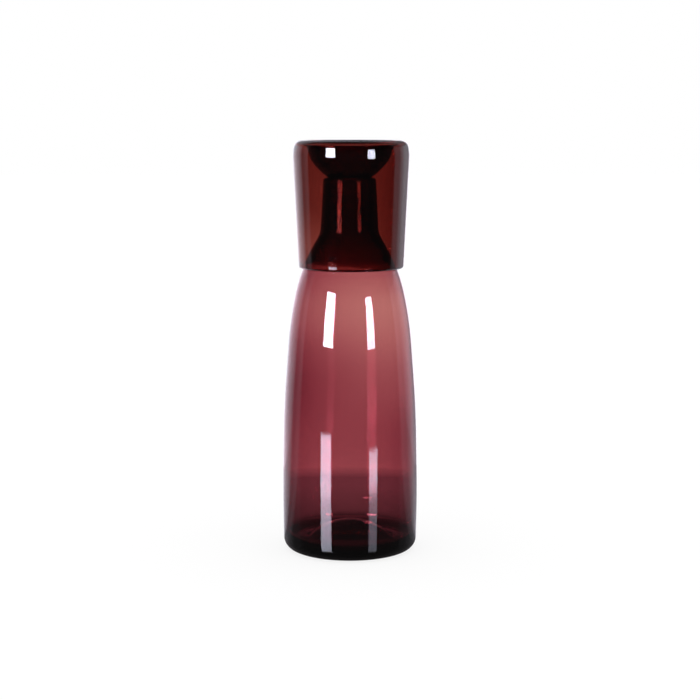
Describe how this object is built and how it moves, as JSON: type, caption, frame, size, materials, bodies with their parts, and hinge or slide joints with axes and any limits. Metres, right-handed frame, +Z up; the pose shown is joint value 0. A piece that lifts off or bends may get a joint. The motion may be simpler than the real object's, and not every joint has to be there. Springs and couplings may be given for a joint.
{
  "type": "glass carafe",
  "caption": "Tall blown-glass carafe for water or wine, with sloping shoulders and a slim neck, closed by its own drinking tumbler turned upside down over the neck.",
  "frame": {"origin": "middle of the ring that the bottle stands on", "axes": "+Z up along the axis that the bottle and the tumbler are turned about"},
  "size_m": [0.0884, 0.0884, 0.2683],
  "materials": {
    "bottle_glass": "clear plum glass, fire polished",
    "tumbler_glass": "clear plum glass in a thicker wall, fire polished"
  },
  "bodies": {
    "bottle": {"carafe_bottle": "bottle_glass"},
    "tumbler": {"lid_tumbler": "tumbler_glass"}
  },
  "joints": [
    {"name": "tumbler_lift", "type": "slide", "parent": "bottle", "child": "tumbler", "axis": [0, 0, 1], "range_m": [0, 0.09]}
  ]
}
